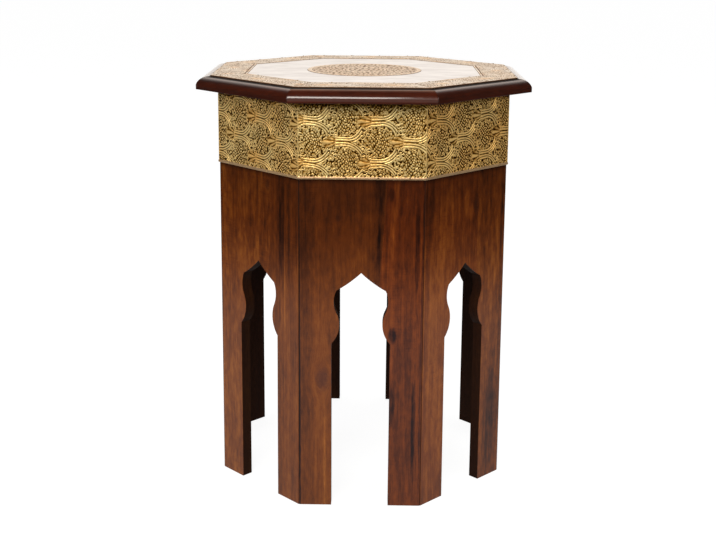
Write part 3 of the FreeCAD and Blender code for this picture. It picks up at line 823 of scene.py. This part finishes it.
def strapwork(u, v):
    """The pattern's height, from 0 in the hollows to 1 on the ridges, and where its warm leaves are.

    A slow bend of the whole sheet comes first, so that no two repeats are quite alike. Then each
    feature is laid over the ones before it: pebbles, curls, leaves, straps, ties and ovals.
    """
    bend_u = 0.5 * MM * np.sin(v / (7 * MM) + 1.3) + 0.5 * MM * np.sin(u / (11 * MM) + v / (4.3 * MM))
    bend_v = 0.5 * MM * np.sin(u / (8 * MM) + 0.4) + 0.4 * MM * np.sin(v / (3.7 * MM) + u / (6 * MM))
    u, v = u + bend_u, v + bend_v
    height, warm = 0.27 + 0.63 * pebbles(u, v, PEBBLE, seed=5), np.zeros(u.shape)
    for shift in (0.0, 0.5):
        cell_u = wrap(u - shift * REPEAT_WIDE, REPEAT_WIDE)
        cell_v = wrap(v - shift * REPEAT_HIGH, REPEAT_HIGH)
        to_bundle = wrap(cell_v - REPEAT_HIGH / 2, REPEAT_HIGH)

        # Curls
        for curl_u, curl_v, radius in CURLS:
            along, above = cell_u - curl_u * MM, np.abs(cell_v) - curl_v * MM
            from_curl, wound = np.hypot(along, above), (np.arctan2(above, along) / math.tau) % 1
            line = radius * MM * (1.15 - 0.7 * wound)
            curl = np.maximum(bead(from_curl - line, CURL_LINE), 0.8 * bead(from_curl, CURL_EYE))
            height = over(height, from_curl < line + CURL_LINE, 0.12 + 0.88 * curl)

        # The ribbed leaf that grows left out of the tie
        share = np.clip((TIE_PLACE - cell_u) / LEAF_LONG, 0, 1)
        leaf_edge = LEAF_WIDE * (1 - share ** 2.4) * (0.6 + 0.75 * share)
        beside = (cell_u < TIE_PLACE) & (cell_u > TIE_PLACE - LEAF_LONG)
        in_leaf = beside & (np.abs(to_bundle) < leaf_edge)
        fan = np.arctan2(to_bundle, TIE_PLACE - cell_u + 3 * MM)
        ribs = (0.5 + 0.5 * np.abs(np.cos(fan * 7.5)) ** 0.8) * (1 - 0.4 * (to_bundle / LEAF_WIDE) ** 2)
        height = over(height, in_leaf, ribs * (0.65 + 0.3 * bead(share - 0.5, 0.6)))
        from_leaf = ((cell_u - TIE_PLACE + 4 * MM) / (11 * MM)) ** 2 + (to_bundle / (6 * MM)) ** 2
        warm = np.maximum(warm, np.exp(-from_leaf))

        # The straps, which open to the right and wrap the ovals above and below
        reach = np.hypot(np.clip(cell_u - 1 * MM, 0, None) / STRAP_REACH, cell_v / CORE_HIGH)
        strap = (reach - STRAP_FROM) * CORE_HIGH / STRAP_PITCH
        steepness = np.arctan2(np.abs(cell_v), cell_u)
        ends = 0.34 + 0.17 * np.floor(strap)
        in_straps = (strap > 0) & (cell_u > TIE_PLACE) & (steepness > ends) & (strap < 2.6)
        groove = 0.5 + 0.35 * np.clip((cell_u - TIE_PLACE) / (14 * MM), 0, 1)
        ridge = 1 - groove * (1 - bead(strap % 1 - 0.5, 0.45))
        height = over(height, in_straps, ridge)

        # The tie
        on_tie = (np.abs(cell_u - TIE_PLACE) < TIE_HALF) & (np.abs(to_bundle) < TIE_REACH)
        height = np.maximum(height, on_tie * 0.85 * bead(cell_u - TIE_PLACE, 0.9 * MM))

        # The oval, with a bead round it
        core, reach = petal_rings(cell_u, cell_v, CORE_WIDE, CORE_HIGH, 5, 4, 4)
        height = over(height, reach < 1.07, 0.9 * bead(reach - 1.03, 0.05))
        height = over(height, reach < 0.98, core)
        warm = over(warm, reach < 1.0, 0.0)
    return height, warm


# %% [markdown]
# ## Brass material
#
# Pressed brass keeps a dark, greenish-brown patina where no cloth reaches, and is rubbed pale
# gold on its ridges. So colour and roughness run with the stored height, with large, faint
# patches of warmer metal and fine scratches over them.

# %% Node group: patina
def make_patina():
    """From the height of the relief and a place: how rubbed the metal is, and its faint patches."""
    group, entry, leaving = new_group(
        "patina", [("Relief", FLOAT), ("Place", VECTOR)],
        [("Rubbed", FLOAT), ("Patch", FLOAT), ("Scratch", FLOAT)],
    )
    place = entry["Place"]
    grime = calc(group, "SUBTRACT", noise(group, place, 380.0, 3.0, 0.65), 0.5)
    lifted = scaled(group, grime, 0.85, entry["Relief"])
    fill(group, leaving["Rubbed"], between(group, lifted, 0.3, 1.06))
    fill(group, leaving["Patch"], between(group, noise(group, place, 22.0), 0.35, 0.65))
    fill(group, leaving["Scratch"], stretched_noise(group, place, (900, 900, 2500)))
    return group


PATINA = make_patina()
print("made group:", PATINA.name)

# %% Brass for the aprons and for the top
# What the colour of the warm leaves is multiplied by
LEAF_TINT = (1.08, 0.84, 0.55, 1)
HOLLOW_ROUGH, RIDGE_ROUGH = 0.55, 0.3


def make_brass(name, hollow, middle, ridge, warm, edge, metals):
    """Brass whose colour runs from hollows to rubbed ridges, and a plain edge: hem, or painted shade.

    warm is what the warmer patches are multiplied by. metals is how metallic the hollows and
    the ridges are: dirt and dry wax make both duller.
    """
    material, tree, shader = new_material(name)
    relief, leaf, hem = numbers_of(tree, read_attribute(tree, "relief"))
    inputs = {"Relief": relief, "Place": object_place(tree)}
    rubbed, patch, scratch = use_group(tree, PATINA, inputs)
    colour = ramp(tree, rubbed, (0.0, hollow), (0.45, middle), (1.0, ridge))
    colour = mix_colour(tree, times(tree, patch, 0.55), colour, tinted(tree, colour, (*warm, 1)))
    colour = mix_colour(tree, times(tree, leaf, 0.7), colour, tinted(tree, colour, LEAF_TINT))
    rough = scaled(tree, rubbed, RIDGE_ROUGH - HOLLOW_ROUGH, HOLLOW_ROUGH)
    set_inputs(tree, shader, {
        "Base Color": mix_colour(tree, hem, colour, (*edge, 1)),
        "Roughness": scaled(tree, scratch, 0.08, rough),
        "Metallic": scaled(tree, rubbed, metals[1] - metals[0], metals[0]),
        "Specular IOR Level": 0.15,
    })
    return material


apron_brass = make_brass(
    "apron_brass",
    hollow=(0.026, 0.010, 0.001), middle=(0.31, 0.172, 0.026), ridge=(0.86, 0.69, 0.32),
    warm=(1.0, 0.82, 0.60), edge=(0.50, 0.33, 0.18), metals=(0.95, 0.6),
)
# The border's plain edge colour is near black: painted shade on the walls of its strips
border_brass = make_brass(
    "border_brass",
    hollow=(0.14, 0.07, 0.032), middle=(0.61, 0.47, 0.345), ridge=(0.87, 0.785, 0.67),
    warm=(1.0, 0.90, 0.78), edge=(0.02, 0.010, 0.006), metals=(0.25, 0.55),
)
print("made materials", apron_brass.name, "and", border_brass.name)

# %% Lay out a flat sheet
APRON_CELL = 0.45 * MM


def flat_sheet(name, width, height, cell, place, turn, depth):
    """A fine grid with straight walls back to a flat back, ready to be embossed."""
    bpy.ops.object.select_all(action="DESELECT")
    bpy.ops.mesh.primitive_grid_add(
        x_subdivisions=round(width / cell), y_subdivisions=round(height / cell), size=1,
        location=place, rotation=turn,
    )
    piece = bpy.context.object
    piece.name = name
    piece.scale = (width, height, 1)
    bpy.ops.object.transform_apply(location=True, rotation=True, scale=True)
    close_back(depth)
    return piece


def close_back(depth):
    """Takes the open rim of the active sheet back by a depth, and closes it with one face."""
    bpy.ops.object.mode_set(mode="EDIT")
    bpy.ops.mesh.select_all(action="DESELECT")
    bpy.ops.mesh.select_mode(type="EDGE")
    bpy.ops.mesh.select_non_manifold()
    bpy.ops.mesh.extrude_region_move(TRANSFORM_OT_translate={"value": depth})
    bpy.ops.mesh.edge_face_add()
    bpy.ops.object.mode_set(mode="OBJECT")


def own_copy(blank, name):
    """A copy of a blank sheet, with its own mesh."""
    piece = bpy.data.objects.new(name, blank.data.copy())
    bpy.context.scene.collection.objects.link(piece)
    return piece


# %% Emboss the aprons
# A point that lies deeper than this isn't on the face of its sheet
FACE_DEPTH = 0.1 * MM
APRON_RELIEF = 0.85 * MM
CORNER_RIB = 1.6 * MM
HEM_HIGH, HEM_TONE = 3 * MM, 0.75
# Where the pattern starts along each side, and above its middle, in millimetres: the sheets were
# cut from a roll as they came
PATTERN_STARTS = ((-51.4, -2.8), (-42, -3), (25, 4), (-31, -9), (12, 2), (-22, 7), (5, -4), (7, -6.5))
# Each side's patina: how far apart the colours of its hollows and ridges are, the height that
# keeps its colour, and how much more orange the metal is than in front. The wider spread on
# the sides is partly painted highlight and shade, for the glints that they catch less
PATINAS_AND_PAINTED_CONTRAST = (
    (1.0, 0.65, 0.0), (1.7, 0.73, 0.8), (1.3, 0.65, 0.3), (1.4, 0.67, 0.5),
    (1.3, 0.65, 0.2), (1.4, 0.66, 0.4), (1.3, 0.65, 0.3), (1.7, 0.68, 0.45),
)
# Painted shade under the edge moulding: over this height the relief is stored lower, so the brass is
# darker
SHADE_UNDER_MOULDING_HIGH = 10 * MM
HEM_PROUD = 0.6 * MM
apron_out = hem_out - HEM_PROUD
apron_middle = (apron_low.z + apron_high.z) / 2

apron_blank = flat_sheet(
    "apron_blank", 2 * apron_out * HALF_TAN, apron_high.z - apron_low.z, APRON_CELL,
    (0, -apron_out, apron_middle), (math.pi / 2, 0, 0), (0, apron_out - side_out, 0),
)


def make_apron(index):
    """One side's sheet: its relief, a rib down each corner and a plain rolled hem."""
    name = SIDE_NAMES[index]
    piece = own_copy(apron_blank, f"apron_{name}")
    points = points_of(piece)
    on_face = points[:, 1] < -(apron_out - FACE_DEPTH)
    u, up = points[:, 0], points[:, 2] - apron_low.z
    start_u, start_v = PATTERN_STARTS[index]
    height, warm = strapwork(u - start_u * MM, points[:, 2] - apron_middle - start_v * MM)
    from_corner = apron_out * HALF_TAN - np.abs(u)
    height = np.maximum(height, np.clip(1 - from_corner / CORNER_RIB, 0, 1))
    out = apron_out - APRON_RELIEF * (1 - height)
    in_hem = up < HEM_HIGH
    hem = side_out + (hem_out - side_out) * (0.55 + 0.45 * bead(up - HEM_HIGH / 2, HEM_HIGH / 2))
    out = np.where(in_hem, hem, out)
    height = np.where(in_hem, HEM_TONE, height)
    out = np.where(on_face, out, side_out)
    u, out = lean(u * out / apron_out, out, points[:, 2])
    set_points(piece, onto_side(columns(u, -out, points[:, 2]), index))
    # The spread of each side's patina, which on the sides is partly painted highlight and shade
    apart, kept, orange = PATINAS_AND_PAINTED_CONTRAST[index]
    height, warm = np.clip(kept + apart * (height - kept), 0, 1.15), np.clip(warm + orange, 0, 1)
    # Painted shade: the brass is darker near the moulding above it
    unshaded = 1 - 0.8 * np.clip(1 - (apron_high.z - points[:, 2]) / SHADE_UNDER_MOULDING_HIGH, 0, 1) ** 0.8
    store(piece, "relief", columns(height * unshaded, warm * ~in_hem, in_hem) * on_face[:, None])
    piece.data.shade_smooth()
    hand_over(piece, apron_brass, "brass", f"brass_apron_{name}")


for side in range(SIDES):
    make_apron(side)
print("points in one apron:", len(apron_blank.data.vertices))
bpy.data.objects.remove(apron_blank)

# %% [markdown]
# ## The top
#
# The top's border is the same embossed sheet, cut in eight mitred strips. It is made as the
# aprons are, but lying down. A plain bead finishes its inner edge, and a narrow flat margin
# its outer one.

# %% Emboss the border strips
BORDER_RELIEF = 0.6 * MM
BORDER_CELL = 0.6 * MM
# The inner bead and the groove beside it, the outer margin and its dark rim, and the mitre's line
BEAD_WIDE, GROOVE_WIDE = 2.4 * MM, 0.8 * MM
MARGIN_WIDE, RIM_WIDE = 1.8 * MM, 0.5 * MM
MITRE_WIDE = 0.9 * MM
border_top = border_high.z

border_blank = flat_sheet(
    "border_blank", 2 * top_out * HALF_TAN, top_out - top_in, BORDER_CELL,
    (0, -(top_out + top_in) / 2, border_top), (0, 0, 0), (0, 0, border_low.z - border_top),
)


def make_border(index):
    """One mitred strip, with its relief between the outer margin and the inner bead."""
    name = SIDE_NAMES[index]
    piece = own_copy(border_blank, f"border_{name}")
    points = points_of(piece)
    on_face = points[:, 2] > border_top - FACE_DEPTH
    out = -points[:, 1]
    u = points[:, 0] * out / top_out
    height, warm = strapwork(u - PATTERN_STARTS[index][0] / 2 * MM, out - top_in)
    from_mitre = (out * HALF_TAN - np.abs(u)) * math.cos(math.pi / SIDES)
    height = np.where(from_mitre < MITRE_WIDE, 0.35, height)
    from_outside, from_inside = top_out - out, out - top_in
    height = np.where(from_outside < MARGIN_WIDE, 0.8 - 0.5 * (from_outside < RIM_WIDE), height)
    height = np.where(from_inside < BEAD_WIDE + GROOVE_WIDE, 0.1, height)
    height = np.where(from_inside < BEAD_WIDE, bead(from_inside - BEAD_WIDE / 2, BEAD_WIDE / 2), height)
    points[:, 0] = u
    points[:, 2] = np.where(on_face, border_top - BORDER_RELIEF * (1 - height), points[:, 2])
    set_points(piece, onto_side(points, index))
    # The walls take the near black edge colour: painted shade
    store(piece, "relief", columns(height * on_face, warm * on_face, ~on_face))
    piece.data.shade_smooth()
    hand_over(piece, border_brass, "brass", f"brass_border_{name}")


for side in range(SIDES):
    make_border(side)
print("points in one border strip:", len(border_blank.data.vertices))
bpy.data.objects.remove(border_blank)

# %% [markdown]
# ## The medallion
#
# A round boss of the same brass lies in the middle of the white sheet: a rosette of many
# petals, a ring of ten flowers among pebbles, and a scalloped ring that ends it. A square grid
# would give it a ragged rim, so the grid is bent round into a disc, and its two ends are joined.

# %% Emboss the medallion
MEDALLION_RELIEF = 0.55 * MM
medallion_reach = medallion_high.x
medallion_top = medallion_high.z
# The rosette and the bead round it, the ring of flowers, and the scallops of the outer ring
ROSETTE, ROSETTE_BEAD = 22 * MM, 23.6 * MM
FLOWERS, FLOWER_RING, FLOWER_SIZE, FLOWER_PITCH = 10, 41.5 * MM, 13 * MM, 26 * MM
SCALLOPS = 44
CELLS_AROUND, CELL_RINGS = 540, 104


def medallion_relief(radius, angle):
    """A rosette in the middle, then a ring of flowers, then the scalloped ring."""
    x, y = radius * np.cos(angle), radius * np.sin(angle)
    ring_from, ring_to = 0.92 * medallion_reach, medallion_reach
    flower_u = radius - FLOWER_RING
    flower_v = wrap(angle, math.tau / FLOWERS) * FLOWERS / math.tau * FLOWER_PITCH
    height = 0.25 + 0.6 * pebbles(x, y, 4.0 * MM, seed=9)
    flower, reach = petal_rings(flower_u, flower_v, FLOWER_SIZE, FLOWER_SIZE, 3, 5, 4, point=2)
    height = over(height, reach < 1, flower)
    rosette, reach = petal_rings(x, y, ROSETTE, ROSETTE, 4, 6, 5, point=2)
    height = over(height, reach < 1, rosette)
    from_bead = radius - ROSETTE_BEAD
    height = over(height, np.abs(from_bead) < 1.3 * MM, bead(from_bead, 1.1 * MM))
    turn = 2 * ((angle / math.tau * SCALLOPS) % 1) - 1
    share = (radius - ring_from) / (ring_to - ring_from)
    tip = 0.95 - 0.5 * turn ** 2
    petal = bead(turn, 0.95) * (share < tip)
    height = over(height, share > 0, np.maximum(0.45 + 0.5 * petal, 0.7 * (share > tip)))
    height = over(height, np.abs(share) < 0.1, bead(share, 0.09))
    return height * (radius < medallion_reach - 0.3 * MM)


def make_medallion():
    """A grid bent into a disc, joined, closed below and embossed above."""
    bpy.ops.object.select_all(action="DESELECT")
    bpy.ops.mesh.primitive_grid_add(x_subdivisions=CELLS_AROUND, y_subdivisions=CELL_RINGS, size=1)
    piece = bpy.context.object
    piece.name = "medallion_boss"
    points = points_of(piece)
    angle, radius = -points[:, 0] * math.tau, (points[:, 1] + 0.5) * medallion_reach
    level = np.full(len(angle), medallion_top)
    set_points(piece, columns(radius * np.cos(angle), radius * np.sin(angle), level))
    bpy.ops.object.mode_set(mode="EDIT")
    bpy.ops.mesh.select_all(action="SELECT")
    bpy.ops.mesh.remove_doubles(threshold=0.0005 * MM)
    bpy.ops.mesh.normals_make_consistent(inside=False)
    bpy.ops.object.mode_set(mode="OBJECT")
    close_back((0, 0, medallion_low.z - medallion_top))
    points = points_of(piece)
    x, y = points[:, 0], points[:, 1]
    on_face = points[:, 2] > medallion_top - FACE_DEPTH
    height = medallion_relief(np.hypot(x, y), np.arctan2(y, x))
    points[:, 2] = np.where(on_face, medallion_top - MEDALLION_RELIEF * (1 - height), points[:, 2])
    set_points(piece, points)
    relief_and_warmth = np.where(on_face, height, 0.6)[:, None] * (1.0, 0.5, 0.0)
    store(piece, "relief", relief_and_warmth)
    piece.data.shade_smooth()
    hand_over(piece, border_brass, "brass", "medallion")
    print("points in the medallion:", len(points))


make_medallion()

# %% [markdown]
# ## Plain metal and the hidden parts
#
# The sheet in the middle of the top is white metal, brushed by years of wiping: satin, with
# faint cloudy strokes. The pins, screws, blocks and the underside of the top keep the frame's
# own shapes and only need their finish.

# %% Finish what the frame already shapes


def make_white_metal():
    """Pale satin metal with cloudy wiping marks."""
    material, tree, shader = new_material("white_metal")
    place = object_place(tree)
    cloud = stretched_noise(tree, place, (30, 55, 30), 4.0, 0.6)
    stroke = stretched_noise(tree, place, (60, 900, 60), 3.0)
    worn = between(tree, cloud, 0.35, 0.65)
    set_inputs(tree, shader, {
        "Base Color": ramp(tree, worn, (0.0, (0.75, 0.70, 0.665)), (1.0, (0.88, 0.835, 0.80))),
        "Roughness": scaled(tree, stroke, 0.16, 0.28),
        "Normal": bump(tree, cloud, 0.15 * MM, 0.3),
        "Metallic": 0.55,
    })
    return material


def make_inner_wood():
    """Raw, dusty wood of the underside, with its grain across."""
    material, tree, shader = new_material("inner_wood")
    place = stretch(tree, object_place(tree), (1, 1, 1), (0.02, 0.05, 0.3))
    streak, pore, height = use_group(tree, WOOD_FIGURE, {"Place": place})
    colour = ramp(tree, streak, (0.0, (0.012, 0.005, 0.002)), (1.0, (0.05, 0.02, 0.008)))
    set_inputs(tree, shader, {
        "Base Color": mix_colour(tree, times(tree, pore, 0.5), colour, (0.008, 0.004, 0.002, 1)),
        "Roughness": 0.7,
        "Normal": bump(tree, height, 0.1 * MM, 0.6),
    })
    return material


def make_plain_metal(name, colour, dull, rough):
    """Metal for small fixings: clean on top, dull in patches."""
    material, tree, shader = new_material(name)
    patch = between(tree, noise(tree, object_place(tree), 900.0), 0.35, 0.65)
    set_inputs(tree, shader, {
        "Base Color": mix_colour(tree, patch, (*colour, 1), (*dull, 1)),
        "Roughness": scaled(tree, patch, 0.2, rough),
        "Metallic": 1.0,
    })
    return material


def refinish(material, *nodes):
    """Gives pieces of the frame a new material and leaves their shape alone."""
    for node in nodes:
        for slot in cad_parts[node].material_slots:
            slot.material = material


refinish(make_white_metal(), "centre_sheet")
refinish(make_inner_wood(), "top_board", *[f"corner_block_{number}" for number in range(1, SIDES + 1)])
pin_brass = make_plain_metal("pin_brass", (0.75, 0.55, 0.25), (0.35, 0.24, 0.1), 0.25)
refinish(pin_brass, "border_pins")
refinish(make_plain_metal("screw_steel", (0.55, 0.54, 0.52), (0.3, 0.28, 0.26), 0.3), "top_screws")
print("finished the white sheet, the top board, its blocks, the border's pins and the screws")

# %% Lean the apron's pins with their sheets
leaning_pins = merged_copy("apron_pins", "leaning_apron_pins")
points = points_of(leaning_pins)
nearest = np.round(np.arctan2(points[:, 0], -points[:, 1]) / (math.tau / SIDES)).astype(int) % SIDES
for side in range(SIDES):
    here = nearest == side
    u, out, up = in_side(points[here], side)
    u, out = lean(u, out, up)
    points[here] = onto_side(columns(u, -out, up), side)
set_points(leaning_pins, points)
alone(leaning_pins)
bpy.ops.object.shade_smooth_by_angle(angle=math.radians(30))
hand_over(leaning_pins, pin_brass, "brass", "apron_pins")
print("points in the pins:", len(points))

# %% [markdown]
# ## Floor and light
#
# The stool stands on a plain white floor in a photographer's studio. A large soft lamp in
# front, left of the camera, does most of the work. Two soft lamps from the sides and one from
# above fill the shadows, and don't show in the gloss. Flat glossy wood and metal mirror what
# lies before them, so what they see is made apart from what the camera sees: bright paper on
# the floor near the stool, tall windows to the left and right of the front, pale walls, a
# white backdrop and a little warmth in all of it. Only glossy rays see these, through the
# Light Path node, so the picture's background stays plain white.

# %% Make the floor
WHITE = (1, 1, 1, 1)
# How bright the floor is in a mirror near the stool and further off, between which distances it
# dims, and where behind the stool the white backdrop starts
POOL, DIM_FLOOR = 0.42, 0.02
POOL_ENDS, BACKDROP_STARTS = (0.65, 1.2), (2.3, 3.2)


def make_floor():
    """A plain white sweep that keeps the stool's shadow."""
    bpy.ops.object.select_all(action="DESELECT")
    bpy.ops.mesh.primitive_plane_add(size=40)
    floor = bpy.context.object
    floor.name = "floor"
    material, tree, shader = new_material("floor")
    set_inputs(tree, shader, {
        "Base Color": (0.8, 0.8, 0.8, 1),
        "Roughness": 0.9,
        "Specular IOR Level": 0.0,
    })
    path = add_node(tree, "ShaderNodeLightPath").outputs
    place = object_place(tree)
    pool = scaled(tree, between(tree, length_of(tree, place), *POOL_ENDS), DIM_FLOOR - POOL, POOL)
    pool = calc(tree, "MAXIMUM", pool, between(tree, numbers_of(tree, place)[1], *BACKDROP_STARTS))

    def glow(strength):
        return add_node(tree, "ShaderNodeEmission", {"Color": WHITE, "Strength": strength}).outputs[0]

    def mix(factor, first, second):
        return add_node(tree, "ShaderNodeMixShader", {0: factor, 1: first, 2: second}).outputs[0]

    shown = mix(0.8, shader.outputs[0], glow(1.0))
    lit = add_node(tree, "ShaderNodeAddShader", {0: shown, 1: glow(0.13)}).outputs[0]
    unseen = mix(path["Is Glossy Ray"], shader.outputs[0], glow(pool))
    fill(tree, tree.nodes["Material Output"].inputs["Surface"], mix(path["Is Camera Ray"], unseen, lit))
    floor.data.materials.append(material)


make_floor()
print("made the floor")

# %% Make the world and the lamps
# How bright the even fill is
FILL_LEVEL = 0.40
# What only glossy surfaces see of the room: its tint, the two windows, and how bright the
# backdrop, the walls, the horizon, the strip overhead and the rest are
WARM_WHITE = (1, 0.94, 0.88, 1)
WINDOW_LEFT, WINDOW_RIGHT = 3.1, 2.2
BACKDROP, WALL, HORIZON, OVERHEAD, ROOM = 1.1, 1.1, 0.5, 0.12, 0.03


def make_world():
    """A soft even fill, and for mirrors a white backdrop behind and a dim room in front."""
    world = bpy.data.worlds.new("studio")
    bpy.context.scene.world = world
    world.use_nodes = True
    tree = world.node_tree
    path = add_node(tree, "ShaderNodeLightPath").outputs
    direction = add_node(tree, "ShaderNodeTexCoord").outputs["Generated"]
    to_right, to_back, to_sky = numbers_of(tree, direction)
    # The backdrop behind the stool, and a narrow strip overhead
    below_sky = rest_of(tree, between(tree, to_sky, 0.6, 0.78))
    behind = times(tree, between(tree, to_back, 0.5, 0.88), times(tree, below_sky, BACKDROP))
    behind = times(tree, behind, scaled(tree, between(tree, to_right, -0.02, -0.12), -0.1, 1.0))
    to_side = calc(tree, "ABSOLUTE", to_right)
    strip = times(tree, between(tree, to_side, 0.14, 0.04), between(tree, to_sky, 0.5, 0.62))
    overhead = times(tree, strip, times(tree, between(tree, to_back, 0.1, 0.45), OVERHEAD))
    # The pale walls in front, and a dimmer band along the horizon below them
    wall = band(tree, to_sky, 0.14, 0.2, 0.48, 0.62)
    horizon = band(tree, to_sky, -0.06, -0.01, 0.1, 0.16)
    walls = scaled(tree, wall, WALL, times(tree, horizon, HORIZON))
    in_front = times(tree, between(tree, to_back, -0.15, -0.35), walls)
    # The windows to the left and right
    around = band(tree, to_back, -0.8, -0.68, -0.38, -0.28)
    window = times(tree, around, band(tree, to_sky, 0.02, 0.1, 0.5, 0.62))
    on_left = between(tree, to_right, 0.1, -0.1)
    strength = scaled(tree, on_left, WINDOW_LEFT - WINDOW_RIGHT, WINDOW_RIGHT)
    in_front = scaled(tree, window, strength, in_front)
    mirrored = calc(tree, "ADD", calc(tree, "ADD", behind, in_front), calc(tree, "ADD", overhead, ROOM))
    extra = times(tree, path["Is Glossy Ray"], calc(tree, "SUBTRACT", mirrored, FILL_LEVEL))
    level = calc(tree, "ADD", extra, FILL_LEVEL)
    set_inputs(tree, tree.nodes["Background"], {
        "Strength": calc(tree, "MAXIMUM", level, path["Is Camera Ray"]),
        "Color": mix_colour(tree, path["Is Glossy Ray"], WHITE, WARM_WHITE),
    })


def make_lamp(name, place, aim, width, height, power, mirrored=False, colour=(1, 1, 1)):
    """A soft box that points at a place. Only a mirrored one shows in what is glossy."""
    data = bpy.data.lights.new(name, "AREA")
    data.shape = "RECTANGLE"
    data.size, data.size_y = width, height
    data.energy = power
    data.color = colour
    lamp = bpy.data.objects.new(name, data)
    lamp.location = place
    lamp.rotation_euler = (Vector(aim) - Vector(place)).to_track_quat("-Z", "Y").to_euler()
    lamp.visible_glossy = mirrored
    bpy.context.scene.collection.objects.link(lamp)


make_world()
make_lamp(
    "key_lamp", (-0.38, -2.00, 1.72), (0, -0.1, 0.36), 0.92, 1.0, 34,
    mirrored=True, colour=(1, 0.93, 0.86),
)
make_lamp("left_lamp", (-2.2, -1.2, 1.0), (0, 0, 0.25), 1.2, 1.4, 12)
make_lamp("right_lamp", (2.2, -1.2, 1.0), (0, 0, 0.25), 1.2, 1.4, 12)
make_lamp("top_lamp", (0, 0.2, 2.4), (0, 0, 0.4), 1.4, 1.4, 21)
print("made the world and", len(bpy.data.lights), "lamps")
